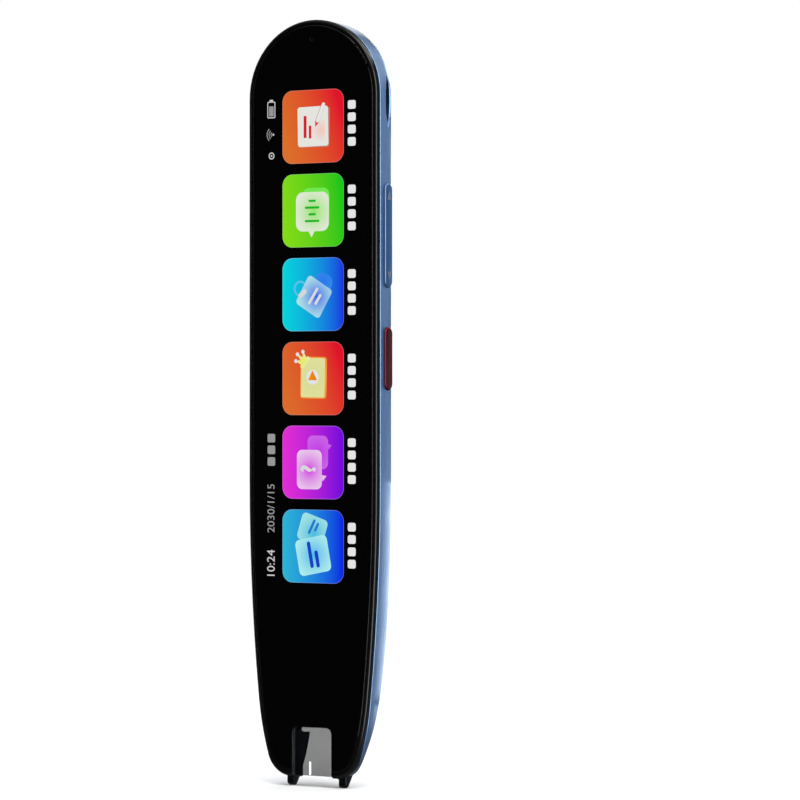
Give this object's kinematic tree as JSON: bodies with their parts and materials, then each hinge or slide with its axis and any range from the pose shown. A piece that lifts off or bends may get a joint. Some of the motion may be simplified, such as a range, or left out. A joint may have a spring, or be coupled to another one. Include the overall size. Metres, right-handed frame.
{
  "type": "handheld scanning translator",
  "caption": "Pen-shaped handheld translator with a full-length front display, a crowned metallic back, side keys and a sprung scanning tip.",
  "frame": {"origin": "the hand grip: the middle of the bounding box, on the centre line, half way along and half way through the thickness", "axes": "+Z along the body from the scanning tip to the tail, +Y from the front glass to the back, +X towards the side keys"},
  "size_m": [0.0321, 0.0136, 0.16],
  "materials": {
    "blue_shell": "satin metallic blue paint",
    "black_frame": "gloss black moulding",
    "cover_glass": "black-backed polished cover glass",
    "clear_window": "clear moulded plastic",
    "display": "dark display stack",
    "can_metal": "tinned sheet",
    "bright_trim": "satin warm silver",
    "speaker_black": "satin black",
    "dust_cloth": "fine black mesh",
    "black_foam": "matt foam",
    "inner_plastic": "moulded black",
    "circuit_board": "solder mask green",
    "chip_black": "moulded chip package",
    "socket_steel": "drawn steel",
    "screw_steel": "blackened steel",
    "battery_foil": "laminated foil",
    "flex_film": "amber film",
    "blue_key": "satin metallic blue paint",
    "red_key": "anodised red",
    "black_liner": "semi-gloss black moulding",
    "dark_cover": "smoked infrared-dark acrylic",
    "tip_black": "semi-gloss black moulding",
    "spring_steel": "bright wire",
    "lamp_white": "clear resin over phosphor"
  },
  "bodies": {
    "housing": {"rear_shell": "blue_shell", "front_frame": "black_frame", "front_glass": "cover_glass", "scan_window": "clear_window", "display_panel": "display", "microphone": "can_metal", "speaker_trim": "bright_trim", "speaker_plate": "speaker_black", "speaker_mesh": "dust_cloth", "speaker_gasket": "black_foam", "speaker": "inner_plastic", "main_board": "circuit_board", "board_shield": "can_metal", "board_chips": "chip_black", "usb_socket": "socket_steel", "board_screws": "screw_steel", "battery_tape": "black_foam", "battery": "battery_foil", "antenna": "flex_film", "display_flex": "flex_film", "camera_flex": "flex_film", "key_switches": "can_metal", "key_board": "circuit_board", "key_bracket": "inner_plastic", "scan_hood": "black_liner", "lens_cover": "dark_cover", "scan_bracket": "inner_plastic", "bracket_screws": "screw_steel", "tip_springs": "spring_steel", "tip_switch": "can_metal", "camera_module": "chip_black", "led_board": "circuit_board", "scan_lamps": "lamp_white"},
    "volume_key": {"volume_rocker": "blue_key"},
    "red_key": {"red_key": "red_key"},
    "tip": {"scan_tip": "tip_black"}
  },
  "joints": [
    {"name": "volume_rock", "type": "hinge", "parent": "housing", "child": "volume_key", "pos_m": [0.01385, -0.00195, 0.0348], "axis": [0, 1, 0], "range_deg": [-1.8, 1.8], "stiffness_Nm_per_rad": 0.4},
    {"name": "red_key_press", "type": "slide", "parent": "housing", "child": "red_key", "axis": [-1, 0, 0], "range_m": [0, 0.00035], "stiffness_N_per_m": 2500, "springref_m": -0.0001},
    {"name": "tip_press", "type": "slide", "parent": "housing", "child": "tip", "axis": [0, 0, 1], "range_m": [0, 0.001], "stiffness_N_per_m": 300, "springref_m": -0.001, "deforming": ["tip_springs"]}
  ]
}
